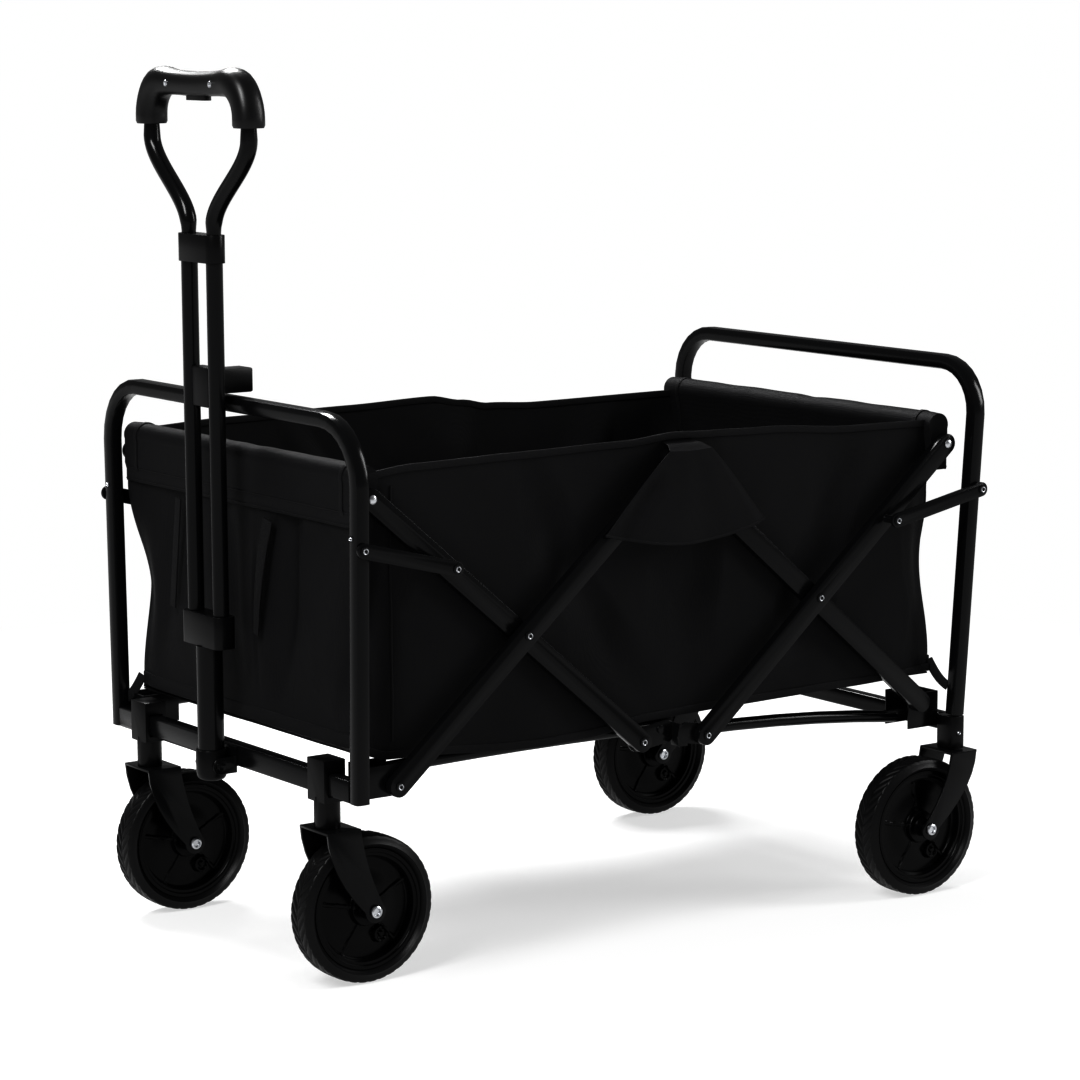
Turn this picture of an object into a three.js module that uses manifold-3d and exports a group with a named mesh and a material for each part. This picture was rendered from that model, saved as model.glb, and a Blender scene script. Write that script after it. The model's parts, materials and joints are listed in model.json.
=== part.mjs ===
// Folding utility wagon with a pull handle.
// Frame: +X to the rear, -Y the left side (seen by someone pulling), +Z up, millimetres, wheels on z = 0.
// Two tube hoops carry the wheels. A pair of scissor bars on each side joins them and folds the wagon
// lengthwise. The basket hangs from two rim bars at the tops of the short scissor bars.
import * as THREE from 'three';
import { mergeVertices } from 'three/addons/utils/BufferGeometryUtils.js';
import Module from 'manifold-3d';

const wasm = await Module();
wasm.setup();

// ---------- driving dimensions ----------
const GAP = 0.4; // clearance kept between touching pieces
const SIDES = [{ side: 'left', sign: -1 }, { side: 'right', sign: 1 }];

const WHEEL_RADIUS = 89;
const TYRE_WIDTH = 40;
const RIM_RADIUS = 73;
const AXLE_RADIUS = 5;
const HUB_RADIUS = 16;

const TUBE = 19; // square hoop tube
const TUBE_CORNER = 4.5;

const FRONT_LEG_X = -455;
const FRONT_LEG_FOOT_Z = 232;
const FRONT_TOP_Z = 680;
const FRONT_HALF_FOOT = 293; // outer half width of the front hoop at its feet
const FRONT_HALF_TOP = 300;
const FRONT_BEND = 72;

const REAR_FOOT_X = 450;
const REAR_TOP_X = 468;
const REAR_LEG_FOOT_Z = 229;
const REAR_TOP_Z = 691;
const REAR_HALF_FOOT = 300;
const REAR_HALF_TOP = 315;
const REAR_BEND = 62;

const CROSSBAR_DEPTH = 18;
const FRONT_CROSSBAR = { low: 231, high: 258 };
const REAR_CROSSBAR = { low: 206, high: 228 };

// Scissor linkage in the side view: heights, and distances fore and aft of MID_X. Front and rear mirror.
const MID_X = -3;
const FOOT_PIVOT = { reach: 405, z: 248 };
const APEX_Z = 595.5;
const CROSSING_REACH = 222;
const RIM_PIVOT = { reach: 430, z: 583 };
const HUB_REACH = 44; // the two pivots of the lower bracket
const LINK_REACH = 328; // where each leg link meets its short bar
const FRONT_LINK_LEG = [-457, 528.2];
const REAR_LINK_LEG = [466, 523.7];

const BAR_WIDTH = 25;
const BAR_DEPTH = 11;
const BAR_WALL = 2;
const OUTER_PLANE = 291; // middle of the front long bars and the rear short bars
const INNER_PLANE = 278; // middle of the front short bars and the rear long bars
const LINK_WIDTH = 18;
const LINK_THICKNESS = 4;
const FRONT_LINK_PLANE = 302.4;
const REAR_LINK_PLANE = 317.5;

const FLOOR_TUBE_RADIUS = 8;
const FRONT_FLOOR_PLANE = 255;
const REAR_FLOOR_PLANE = 237;
const FRONT_FLOOR_PIVOT = [MID_X - 402, 262];
const FRONT_FLOOR_HINGE = [MID_X, 263];
const REAR_FLOOR_PIVOT = [MID_X + 396, 224];
const REAR_FLOOR_HINGE = [MID_X, 247];

const RIM_BAR_RADIUS = 8;
const RIM_BAR_RISE = 22; // height of the rim bar above its pivots
const RIM_TAB = 3.4;
const RIM_TAB_PLANE = 269;

const BASKET_HALF = 265.5;
const BASKET_WALL = 4;
const BASKET_FRONT_X = -443;
const BASKET_REAR_X = 438;
const BASKET_FLOOR_Z = 277;
const BASKET_TOP_Z = 622;
const ROLL_RADIUS = 15;
const ROLL_DROP = 62;

const CASTER_Y = 212;
const CASTER_TRAIL = 46;
const CASTER_PLATE_Z = 188;
const FORK_STEEL = 3;
const FORK_HALF = 31;
const SADDLE_HALF = 18.5;
const SADDLE_TOP = 274;
const SADDLE_POST_RADIUS = 15.5;

const REAR_WHEEL_Y = 284;
const REAR_WHEEL_X = 390;
const REAR_FORK_TOP_X = 446;
const REAR_PLATE_Z = 181;
const POST_SIZE = { x: 22, y: 32 };
const POST_TOP_GAP = 2; // the splayed, leaning leg has a tilted end

const HANDLE_X = -487;
const HANDLE_PIVOT_Z = 234;
const FOOT_RADIUS = 18.3;
const FOOT_TOP_Z = 253;
const LOWER_TUBE_RADIUS = 16;
const JOINER = { low: 380, high: 419, x: 28, y: 88 };
const HANDLE_TUBE_Y = 29.5;
const HANDLE_TUBE_RADIUS = 10;
const HANDLE_TUBE_BORE = 9.3;
const TOP_COLLAR = { low: 840, high: 873, x: 25, y: 84 };
const HOOK = { low: 668, high: 716, armLow: 683, armHigh: 712, backX: -428 };

const BAIL_RADIUS = 8.7;
const BAIL_FOOT_Z = 530;
const BAIL_HALF = 114;
const BAIL_SHOULDER_Z = 1000;
const GRIP_Z = 1050; // centre line of the grip's top bar
const GRIP_RADIUS = 16.5;
const GRIP_BEND = 40;
const BUTTON = { x: 11, y: 46, low: 1029.5, high: 1036.6 };

// ---------- materials ----------
const finishes = {
  frame: [0x17181a, 0.42, 0.6],
  plastic: [0x141415, 0.55, 0],
  rim: [0x121213, 0.5, 0],
  tyre: [0x1b1b1c, 0.85, 0],
  bolt: [0xb8babd, 0.3, 1],
  grip: [0x161617, 0.6, 0],
  fabric: [0x111112, 0.95, 0],
};

function finish(name) {
  const [color, roughness, metalness] = finishes[name];
  return new THREE.MeshStandardMaterial({ color, roughness, metalness });
}

// ---------- solid helpers ----------
function toSolid(geometry) {
  const bare = geometry.clone();
  bare.deleteAttribute('normal');
  bare.deleteAttribute('uv');
  const merged = mergeVertices(bare, 1e-4);
  const vertProperties = new Float32Array(merged.attributes.position.array);
  const triVerts = new Uint32Array(merged.index.array);
  return new wasm.Manifold(new wasm.Mesh({ numProp: 3, vertProperties, triVerts }));
}

function fromSolid(solid) {
  const mesh = solid.getMesh();
  const geometry = new THREE.BufferGeometry();
  geometry.setAttribute('position', new THREE.BufferAttribute(new Float32Array(mesh.vertProperties), 3));
  geometry.setIndex(new THREE.BufferAttribute(new Uint32Array(mesh.triVerts), 1));
  geometry.computeVertexNormals();
  return geometry;
}

function join(geometries) {
  return fromSolid(geometries.map(toSolid).reduce((whole, piece) => whole.add(piece)));
}

function cut(geometry, tools) {
  return fromSolid(tools.map(toSolid).reduce((whole, tool) => whole.subtract(tool), toSolid(geometry)));
}

// A box given by its two opposite corners.
function block(low, high) {
  const size = high.map((value, axis) => value - low[axis]);
  const geometry = new THREE.BoxGeometry(...size);
  return geometry.translate(...low.map((value, axis) => value + size[axis] / 2));
}

// A box from y1 to y2 on one side of the wagon, mirrored by sign.
function sideBlock(sign, [x1, x2], [y1, y2], [z1, z2]) {
  const ys = [sign * y1, sign * y2];
  return block([x1, Math.min(...ys), z1], [x2, Math.max(...ys), z2]);
}

function upright(radius, low, high, segments = 20) {
  const geometry = new THREE.CylinderGeometry(radius, radius, high - low, segments);
  return geometry.rotateX(Math.PI / 2).translate(0, 0, (low + high) / 2);
}

// A cylinder along Y, from y1 to y2, over the side-view point [x, z].
function crossPin(radius, [x, z], y1, y2, segments = 16) {
  const geometry = new THREE.CylinderGeometry(radius, radius, Math.abs(y2 - y1), segments);
  return geometry.translate(x, (y1 + y2) / 2, z);
}

function roundedSection(width, height, radius, arcSteps = 2) {
  const shape = new THREE.Shape();
  const corners = [[1, 1, 0], [-1, 1, 90], [-1, -1, 180], [1, -1, 270]];
  const points = [];
  for (const [sx, sy, start] of corners) {
    for (let step = 0; step <= arcSteps; step += 1) {
      const angle = THREE.MathUtils.degToRad(start + (90 * step) / arcSteps);
      points.push(new THREE.Vector2(
        sx * (width / 2 - radius) + radius * Math.cos(angle),
        sy * (height / 2 - radius) + radius * Math.sin(angle),
      ));
    }
  }
  shape.setFromPoints(points);
  return shape;
}

function circleSection(radius, sides) {
  const points = [];
  for (let step = 0; step < sides; step += 1) {
    const angle = (2 * Math.PI * step) / sides;
    points.push(new THREE.Vector2(radius * Math.cos(angle), radius * Math.sin(angle)));
  }
  return new THREE.Shape(points);
}

// A route through chosen stations: the sweep puts one section at each station.
class StationRoute extends THREE.Curve {
  constructor(stations) {
    super();
    this.stations = stations;
  }

  getUtoTmapping(u) {
    return u;
  }

  getPoint(t, target = new THREE.Vector3()) {
    const place = Math.min(Math.max(t, 0), 1) * (this.stations.length - 1);
    const index = Math.min(Math.floor(place), this.stations.length - 2);
    return target.lerpVectors(this.stations[index], this.stations[index + 1], place - index);
  }
}

function sweep(section, stations) {
  const extrudePath = new StationRoute(stations);
  return new THREE.ExtrudeGeometry(section, { extrudePath, steps: stations.length - 1 });
}

// Points of an arc about centre, from one angle to another in degrees, in the plane of two unit axes.
function arcStations(centre, radius, from, to, steps, across, up) {
  const points = [];
  for (let step = 0; step <= steps; step += 1) {
    const angle = THREE.MathUtils.degToRad(from + ((to - from) * step) / steps);
    points.push(centre.clone()
      .addScaledVector(across, radius * Math.cos(angle))
      .addScaledVector(up, radius * Math.sin(angle)));
  }
  return points;
}

const Y_AXIS = new THREE.Vector3(0, 1, 0);
const Z_AXIS = new THREE.Vector3(0, 0, 1);

// An outline drawn in the side view (x, z), given a thickness along Y about the plane y.
function sidePlate(shape, y, thickness, curveSegments = 6) {
  const geometry = new THREE.ExtrudeGeometry(shape, { depth: thickness, bevelEnabled: false, curveSegments });
  return geometry.rotateX(Math.PI / 2).translate(0, y + thickness / 2, 0);
}

// A strip with round ends between two side-view points.
function stripShape([x1, z1], [x2, z2], width) {
  const half = width / 2;
  const angle = Math.atan2(z2 - z1, x2 - x1);
  const shape = new THREE.Shape();
  shape.absarc(x2, z2, half, angle - Math.PI / 2, angle + Math.PI / 2, false);
  shape.absarc(x1, z1, half, angle + Math.PI / 2, angle + (3 * Math.PI) / 2, false);
  shape.closePath();
  return shape;
}

function lerp2([x1, z1], [x2, z2], share) {
  return [x1 + (x2 - x1) * share, z1 + (z2 - z1) * share];
}

// The point of a straight line through two side-view points at a given x.
function atX([x1, z1], [x2, z2], x) {
  return lerp2([x1, z1], [x2, z2], (x - x1) / (x2 - x1));
}

const wagon = new THREE.Group();

function add(name, geometry, finishName) {
  const mesh = new THREE.Mesh(geometry, finish(finishName));
  mesh.name = name;
  wagon.add(mesh);
  return mesh;
}

// ---------- hoops and crossbars ----------
// An upside-down U of square tube. The legs splay outward and may lean along X.
function hoopStations(footX, topX, footZ, topZ, halfFoot, halfTop, bend) {
  const topCentre = topZ - TUBE / 2;
  const half = halfTop - TUBE / 2;
  const lean = (topX - footX) / (topCentre - footZ);
  const leanX = (z) => footX + lean * (z - footZ);
  const oneSide = (sign) => {
    const foot = new THREE.Vector3(footX, sign * (halfFoot - TUBE / 2), footZ);
    const centre = new THREE.Vector3(0, sign * (half - bend), topCentre - bend);
    const [from, to] = sign < 0 ? [180, 90] : [0, 90];
    const bendPoints = arcStations(centre, bend, from, to, 7, Y_AXIS, Z_AXIS);
    bendPoints.forEach((point) => point.setX(leanX(point.z)));
    return [foot, ...bendPoints];
  };
  return [...oneSide(-1), ...oneSide(1).reverse()];
}

function hoop(name, ...sizes) {
  const section = roundedSection(TUBE, TUBE, TUBE_CORNER);
  add(name, sweep(section, hoopStations(...sizes)), 'frame');
}

function crossbar(name, x, { low, high }, half) {
  const section = roundedSection(CROSSBAR_DEPTH, high - low, 3.5);
  const geometry = new THREE.ExtrudeGeometry(section, { depth: 2 * half, bevelEnabled: false });
  add(name, geometry.rotateX(Math.PI / 2).translate(x, half, (low + high) / 2), 'frame');
}

// ---------- wheels ----------
// A closed ring turned about the wheel's axle, from [radius, offset along the axle] points.
function turned(profile, segments) {
  const points = profile.map(([radius, offset]) => new THREE.Vector2(radius, offset));
  points.push(points[0].clone());
  return new THREE.LatheGeometry(points, segments);
}

function tyreGeometry() {
  const half = TYRE_WIDTH / 2;
  return turned([
    [RIM_RADIUS + GAP, -half + 5],
    [WHEEL_RADIUS - 11, -half],
    [WHEEL_RADIUS - 4, -half + 2.5],
    [WHEEL_RADIUS - 1, -half + 8],
    [WHEEL_RADIUS, 0],
    [WHEEL_RADIUS - 1, half - 8],
    [WHEEL_RADIUS - 4, half - 2.5],
    [WHEEL_RADIUS - 11, half],
    [RIM_RADIUS + GAP, half - 5],
  ], 40);
}

function rimGeometry() {
  const face = TYRE_WIDTH / 2 - 5;
  const hub = TYRE_WIDTH / 2 + 3;
  const bore = AXLE_RADIUS + GAP;
  const half = [
    [bore, -hub],
    [HUB_RADIUS, -hub],
    [HUB_RADIUS + 3, -8],
    [RIM_RADIUS - 9, -5],
    [RIM_RADIUS - 7, -face - 1],
    [RIM_RADIUS, -face],
  ];
  const other = half.map(([radius, offset]) => [radius, -offset]).reverse();
  return turned([...half, ...other], 28);
}

function wheel(prefix, side, x, y) {
  add(`${prefix}_tyre_${side}`, tyreGeometry(), 'tyre').position.set(x, y, WHEEL_RADIUS);
  add(`${prefix}_rim_${side}`, rimGeometry(), 'rim').position.set(x, y, WHEEL_RADIUS);
  const reach = FORK_HALF + 4;
  const parts = [
    crossPin(AXLE_RADIUS - GAP, [0, 0], -reach, reach),
    crossPin(7, [0, 0], -reach, -FORK_HALF - GAP, 16),
    crossPin(7, [0, 0], FORK_HALF + GAP, reach, 16),
  ];
  add(`${prefix}_axle_${side}`, join(parts), 'bolt').position.set(x, y, WHEEL_RADIUS);
}

// ---------- forks ----------
// One cheek of a fork in the side view: wide under the plate, tapering in a curve to a round end.
function cheekShape(frontX, rearX, topZ, axleX) {
  const end = 14;
  const lean = Math.sign(axleX - (frontX + rearX) / 2);
  const waistZ = (topZ + WHEEL_RADIUS) / 2;
  const shape = new THREE.Shape();
  shape.moveTo(frontX, topZ);
  shape.quadraticCurveTo(frontX + (lean > 0 ? 2 : -6), waistZ, axleX - end, WHEEL_RADIUS);
  shape.absarc(axleX, WHEEL_RADIUS, end, Math.PI, 2 * Math.PI, false);
  shape.quadraticCurveTo(rearX + (lean > 0 ? 6 : -2), waistZ, rearX, topZ);
  shape.closePath();
  return shape;
}

function fork(name, y, frontX, rearX, topZ, axleX) {
  const plate = block([frontX, y - FORK_HALF, topZ - FORK_STEEL], [rearX, y + FORK_HALF, topZ]);
  const cheekY = FORK_HALF - FORK_STEEL / 2;
  const shape = cheekShape(frontX, rearX, topZ, axleX);
  const cheeks = [-1, 1].map((sign) => sidePlate(shape, y + sign * cheekY, FORK_STEEL));
  const hole = crossPin(AXLE_RADIUS, [axleX, WHEEL_RADIUS], y - 2 * FORK_HALF, y + 2 * FORK_HALF);
  add(name, cut(join([plate, ...cheeks]), [hole]), 'frame');
}

function casters() {
  const plateTop = CASTER_PLATE_Z + FORK_STEEL;
  const axleX = FRONT_LEG_X + CASTER_TRAIL;
  for (const { side, sign } of SIDES) {
    const y = sign * CASTER_Y;
    const body = block(
      [FRONT_LEG_X - 15, y - SADDLE_HALF, FRONT_CROSSBAR.low - 7],
      [FRONT_LEG_X + 14, y + SADDLE_HALF, SADDLE_TOP],
    );
    const post = upright(SADDLE_POST_RADIUS, plateTop + GAP, FRONT_CROSSBAR.low - 2).translate(FRONT_LEG_X, y, 0);
    const bar = block(
      [FRONT_LEG_X - CROSSBAR_DEPTH / 2 - GAP, y - 2 * SADDLE_HALF, FRONT_CROSSBAR.low - GAP],
      [FRONT_LEG_X + CROSSBAR_DEPTH / 2 + GAP, y + 2 * SADDLE_HALF, FRONT_CROSSBAR.high + GAP],
    );
    add(`caster_saddle_${side}`, cut(join([body, post]), [bar]), 'plastic');
    fork(`caster_fork_${side}`, y, FRONT_LEG_X - 19, FRONT_LEG_X + 27, plateTop, axleX);
    wheel('front', side, axleX, y);
  }
}

function rearWheels() {
  const plateTop = REAR_PLATE_Z + FORK_STEEL;
  for (const { side, sign } of SIDES) {
    const y = sign * REAR_WHEEL_Y;
    const section = roundedSection(POST_SIZE.x, POST_SIZE.y, 4);
    const height = REAR_LEG_FOOT_Z - POST_TOP_GAP - plateTop - GAP;
    const post = new THREE.ExtrudeGeometry(section, { depth: height, bevelEnabled: false });
    post.translate(REAR_FOOT_X - 1, y, plateTop + GAP);
    add(`rear_post_${side}`, post, 'plastic');
    fork(`rear_fork_${side}`, y, REAR_FORK_TOP_X - 21, REAR_FORK_TOP_X + 21, plateTop, REAR_WHEEL_X);
    wheel('rear', side, REAR_WHEEL_X, y);
  }
}

// ---------- scissor bars, links and brackets ----------
// end is -1 for the front half and 1 for the rear half.
function linkagePoints(end) {
  const at = ({ reach, z }) => [MID_X + end * reach, z];
  const foot = at(FOOT_PIVOT);
  const apex = [MID_X, APEX_Z];
  const cross = atX(foot, apex, MID_X + end * CROSSING_REACH);
  const rim = at(RIM_PIVOT);
  const hub = atX(rim, cross, MID_X + end * HUB_REACH);
  const link = atX(rim, cross, MID_X + end * LINK_REACH);
  return { foot, apex, cross, rim, hub, link };
}

const front = linkagePoints(-1);
const rear = linkagePoints(1);

// A pressed channel, its flat web outward, with rivet heads at the given points. A spacer stands out
// to the link's plane where a link is riveted on.
function channelBar(name, sign, plane, ends, rivets, spacer) {
  const y = sign * plane;
  const outerFace = y + (sign * BAR_DEPTH) / 2;
  const solid = sidePlate(stripShape(...ends, BAR_WIDTH), y, BAR_DEPTH);
  const hollow = sidePlate(
    stripShape(...ends, BAR_WIDTH - 2 * BAR_WALL),
    y - sign * BAR_WALL,
    BAR_DEPTH,
  );
  const heads = rivets.map((point) => crossPin(5.5, point, outerFace - sign, outerFace + sign * 1.6, 12));
  if (spacer) {
    heads.push(crossPin(5, spacer.point, outerFace - sign, sign * spacer.reach, 12));
  }
  add(name, join([cut(solid, [hollow]), ...heads]), 'frame');
}

// The outer bar of each crossing shows its rivet; the inner bar has no heads there, so they nest.
function scissors() {
  for (const { side, sign } of SIDES) {
    const spacerEnd = (plane) => plane - LINK_THICKNESS / 2 - GAP;
    channelBar(`front_long_bar_${side}`, sign, OUTER_PLANE, [front.foot, front.apex],
      [front.foot, front.cross, front.apex]);
    channelBar(`front_short_bar_${side}`, sign, INNER_PLANE, [front.rim, front.hub],
      [front.rim, front.hub], { point: front.link, reach: spacerEnd(FRONT_LINK_PLANE) });
    channelBar(`rear_long_bar_${side}`, sign, INNER_PLANE, [rear.foot, rear.apex], []);
    channelBar(`rear_short_bar_${side}`, sign, OUTER_PLANE, [rear.rim, rear.hub],
      [rear.rim, rear.cross, rear.hub], { point: rear.link, reach: spacerEnd(REAR_LINK_PLANE) });
    legLink(`front_link_${side}`, sign, FRONT_LINK_PLANE, FRONT_LINK_LEG, front.link);
    legLink(`rear_link_${side}`, sign, REAR_LINK_PLANE, REAR_LINK_LEG, rear.link);
    hubBracket(side, sign);
    cornerBracket(`front_corner_bracket_${side}`, sign, {
      web: [-445, -442.5], nose: -394, y: [243.5, 284.8], z: [236, 273],
    });
    cornerBracket(`rear_corner_bracket_${side}`, sign, {
      web: [434.5, 437.6], nose: 388, y: [225.5, 271.5], z: [213, 258],
    });
  }
}

function legLink(name, sign, plane, legPoint, barPoint) {
  const y = sign * plane;
  const face = y + (sign * LINK_THICKNESS) / 2;
  const strip = sidePlate(stripShape(legPoint, barPoint, LINK_WIDTH), y, LINK_THICKNESS);
  const heads = [legPoint, barPoint].map((point) => crossPin(5, point, face - sign, face + sign * 1.6, 12));
  add(name, join([strip, ...heads]), 'frame');
}

// A U of steel strip, open along X, that holds the foot of a bar and of a floor tube between its cheeks.
function cornerBracket(name, sign, { web, nose, y, z }) {
  const wall = 2;
  const cheekX = [Math.min(nose, web[0]), Math.max(nose, web[1])];
  add(name, join([
    sideBlock(sign, web, y, z),
    sideBlock(sign, cheekX, [y[0], y[0] + wall], z),
    sideBlock(sign, cheekX, [y[1] - wall, y[1]], z),
  ]), 'frame');
}

// A strip bent like a step: its front part lies inboard of the front short bar, its rear part lies
// behind the rear short bar.
function hubBracket(side, sign) {
  const wall = 3;
  const inner = RIM_TAB_PLANE - 1;
  const outer = OUTER_PLANE - BAR_DEPTH / 2 - GAP - wall;
  const stepX = MID_X + 12;
  const [frontX, frontZ] = front.hub;
  const [rearX, rearZ] = rear.hub;
  add(`hub_bracket_${side}`, join([
    sidePlate(stripShape([frontX, frontZ], [stepX - 12, frontZ + 6], 28), sign * (inner + wall / 2), wall),
    sideBlock(sign, [stepX - 3, stepX], [inner, outer + wall], [frontZ - 12, frontZ + 16]),
    sidePlate(stripShape([stepX + 8, rearZ + 4], [rearX, rearZ], 26), sign * (outer + wall / 2), wall),
    sideBlock(sign, [stepX - 3, stepX + 10], [outer, outer + wall], [frontZ - 12, frontZ + 14]),
    crossPin(5, [stepX - 22, frontZ + 10], sign * (inner + wall - 1), sign * (inner + wall + 3), 12),
  ]), 'frame');
}

// ---------- floor tubes ----------
// Slightly bowed tubes under the basket: hinged at the corner brackets and at mid length.
function floorTube(name, sign, plane, from, to, rise) {
  const y = sign * plane;
  const steps = 6;
  const stations = [];
  for (let step = 0; step <= steps; step += 1) {
    const share = step / steps;
    const [x, z] = lerp2(from, to, share);
    stations.push(new THREE.Vector3(x, y, z + 4 * rise * share * (1 - share)));
  }
  const tube = sweep(circleSection(FLOOR_TUBE_RADIUS, 12), stations);
  add(name, tube, 'frame');
}

function floorTubes() {
  for (const { side, sign } of SIDES) {
    floorTube(`front_floor_tube_${side}`, sign, FRONT_FLOOR_PLANE, FRONT_FLOOR_PIVOT, FRONT_FLOOR_HINGE, 3);
    floorTube(`rear_floor_tube_${side}`, sign, REAR_FLOOR_PLANE, REAR_FLOOR_PIVOT, REAR_FLOOR_HINGE, 7);
  }
}

// ---------- rim bars and basket ----------
// spigotEnd is how far out the pivot spigots reach, up to the bars that carry the rim.
function rimBar(name, [x, z], spigotEnd) {
  const barZ = z + RIM_BAR_RISE;
  const reach = RIM_TAB_PLANE - RIM_TAB / 2 + 1;
  const spigots = SIDES.map(({ sign }) => crossPin(5, [x, z], sign * RIM_TAB_PLANE, sign * spigotEnd, 12));
  const tabs = SIDES.map(({ sign }) => (
    sidePlate(stripShape([x, z], [x, barZ], 22), sign * RIM_TAB_PLANE, RIM_TAB)
  ));
  add(name, join([crossPin(RIM_BAR_RADIUS, [x, barZ], -reach, reach), ...tabs, ...spigots]), 'frame');
}

// An open tub whose front and rear walls end in sleeves around the rim bars.
function basket() {
  const inner = BASKET_HALF - BASKET_WALL;
  const floorTop = BASKET_FLOOR_Z + BASKET_WALL;
  const frontInside = BASKET_FRONT_X + BASKET_WALL;
  const rearInside = BASKET_REAR_X - BASKET_WALL;
  const pieces = [
    block([BASKET_FRONT_X, -BASKET_HALF, BASKET_FLOOR_Z], [BASKET_REAR_X, BASKET_HALF, floorTop]),
    block([BASKET_FRONT_X, -inner - 1, BASKET_FLOOR_Z], [frontInside, inner + 1, 590]),
    block([rearInside, -inner - 1, BASKET_FLOOR_Z], [BASKET_REAR_X, inner + 1, 586]),
  ];
  for (const { sign } of SIDES) {
    pieces.push(sideBlock(sign, [BASKET_FRONT_X, BASKET_REAR_X], [inner, BASKET_HALF], [BASKET_FLOOR_Z, BASKET_TOP_Z]));
  }
  const bores = [];
  for (const [x, z] of [front.rim, rear.rim]) {
    const barZ = z + RIM_BAR_RISE;
    pieces.push(crossPin(ROLL_RADIUS, [x, barZ], -inner - 1, inner + 1, 20));
    pieces.push(block([x - ROLL_RADIUS, -inner - 1, barZ + 15 - ROLL_DROP], [x + ROLL_RADIUS, inner + 1, barZ]));
    bores.push(crossPin(RIM_BAR_RADIUS + GAP, [x, barZ], -300, 300));
  }
  add('basket', cut(join(pieces), bores), 'fabric');
}

// ---------- pull handle ----------
function handle() {
  const pivot = [HANDLE_X, HANDLE_PIVOT_Z];
  const plateX = FRONT_LEG_X - CROSSBAR_DEPTH / 2 - GAP;
  const earY = [FOOT_RADIUS + 0.8, FOOT_RADIUS + 3.8];
  const ears = SIDES.map(({ sign }) => join([
    sideBlock(sign, [HANDLE_X, plateX], earY, [HANDLE_PIVOT_Z - 10, HANDLE_PIVOT_Z + 10]),
    crossPin(10, pivot, sign * earY[0], sign * earY[1]),
    crossPin(5.5, pivot, sign * earY[0], sign * (earY[1] + 4), 6),
  ]));
  const plate = block([plateX - 2.6, -24, FRONT_CROSSBAR.low + 1], [plateX, 24, FRONT_CROSSBAR.high - 2]);
  add('handle_bracket', join([plate, ...ears]), 'frame');

  const foot = join([
    upright(FOOT_RADIUS, HANDLE_PIVOT_Z, FOOT_TOP_Z, 24).translate(HANDLE_X, 0, 0),
    new THREE.SphereGeometry(FOOT_RADIUS, 24, 16).translate(HANDLE_X, 0, HANDLE_PIVOT_Z),
  ]);
  add('handle_foot', foot, 'plastic');
  const lower = upright(LOWER_TUBE_RADIUS, FOOT_TOP_Z + GAP, JOINER.low - GAP, 24);
  add('handle_lower_tube', lower.translate(HANDLE_X, 0, 0), 'frame');
  add('handle_joiner', collarBlock(JOINER, 9), 'plastic');

  for (const { side, sign } of SIDES) {
    const outer = circleSection(HANDLE_TUBE_RADIUS, 16);
    outer.holes.push(circleSection(HANDLE_TUBE_BORE, 16));
    const length = TOP_COLLAR.low - JOINER.high - 2 * GAP;
    const tube = new THREE.ExtrudeGeometry(outer, { depth: length, bevelEnabled: false });
    tube.translate(HANDLE_X, sign * HANDLE_TUBE_Y, JOINER.high + GAP);
    add(`handle_tube_${side}`, tube, 'frame');
  }

  const bores = SIDES.map(({ sign }) => (
    upright(HANDLE_TUBE_BORE, TOP_COLLAR.low - 5, TOP_COLLAR.high + 5, 16)
      .translate(HANDLE_X, sign * HANDLE_TUBE_Y, 0)
  ));
  add('handle_top_collar', cut(collarBlock(TOP_COLLAR, 12), bores), 'plastic');

  const webHalf = HANDLE_TUBE_Y - HANDLE_TUBE_RADIUS - GAP;
  add('handle_hook', join([
    block([HANDLE_X - 6, -webHalf, HOOK.low], [HANDLE_X + 9, webHalf, HOOK.high]),
    block([HANDLE_X + 5, -15, HOOK.armLow], [HOOK.backX, 15, HOOK.armHigh]),
  ]), 'plastic');
}

function collarBlock({ low, high, x, y }, radius) {
  const section = roundedSection(x, y, radius, 4);
  const geometry = new THREE.ExtrudeGeometry(section, { depth: high - low, bevelEnabled: false });
  return geometry.translate(HANDLE_X, 0, low);
}

// The centre line of one leg of the bail, from its foot up to the grip's end.
function bailLeg(sign) {
  const flareLow = 884;
  const flareHigh = BAIL_SHOULDER_Z - 14;
  const steps = 8;
  const points = [new THREE.Vector3(HANDLE_X, sign * HANDLE_TUBE_Y, BAIL_FOOT_Z)];
  for (let step = 0; step <= steps; step += 1) {
    const share = step / steps;
    const ease = share * share * (3 - 2 * share);
    const y = HANDLE_TUBE_Y + (BAIL_HALF - HANDLE_TUBE_Y) * ease;
    points.push(new THREE.Vector3(HANDLE_X, sign * y, flareLow + (flareHigh - flareLow) * share));
  }
  return points;
}

// The arch inside the grip, between the two shoulders.
function gripArch(startZ) {
  const archHalf = BAIL_HALF - GRIP_BEND;
  const centres = [-1, 1].map((sign) => new THREE.Vector3(HANDLE_X, sign * archHalf, GRIP_Z - GRIP_BEND));
  const bends = [[180, 90], [90, 0]].map(([from, to], index) => (
    arcStations(centres[index], GRIP_BEND, from, to, 6, Y_AXIS, Z_AXIS)
  ));
  return [
    new THREE.Vector3(HANDLE_X, -BAIL_HALF, startZ),
    ...bends[0],
    ...bends[1],
    new THREE.Vector3(HANDLE_X, BAIL_HALF, startZ),
  ];
}

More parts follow.
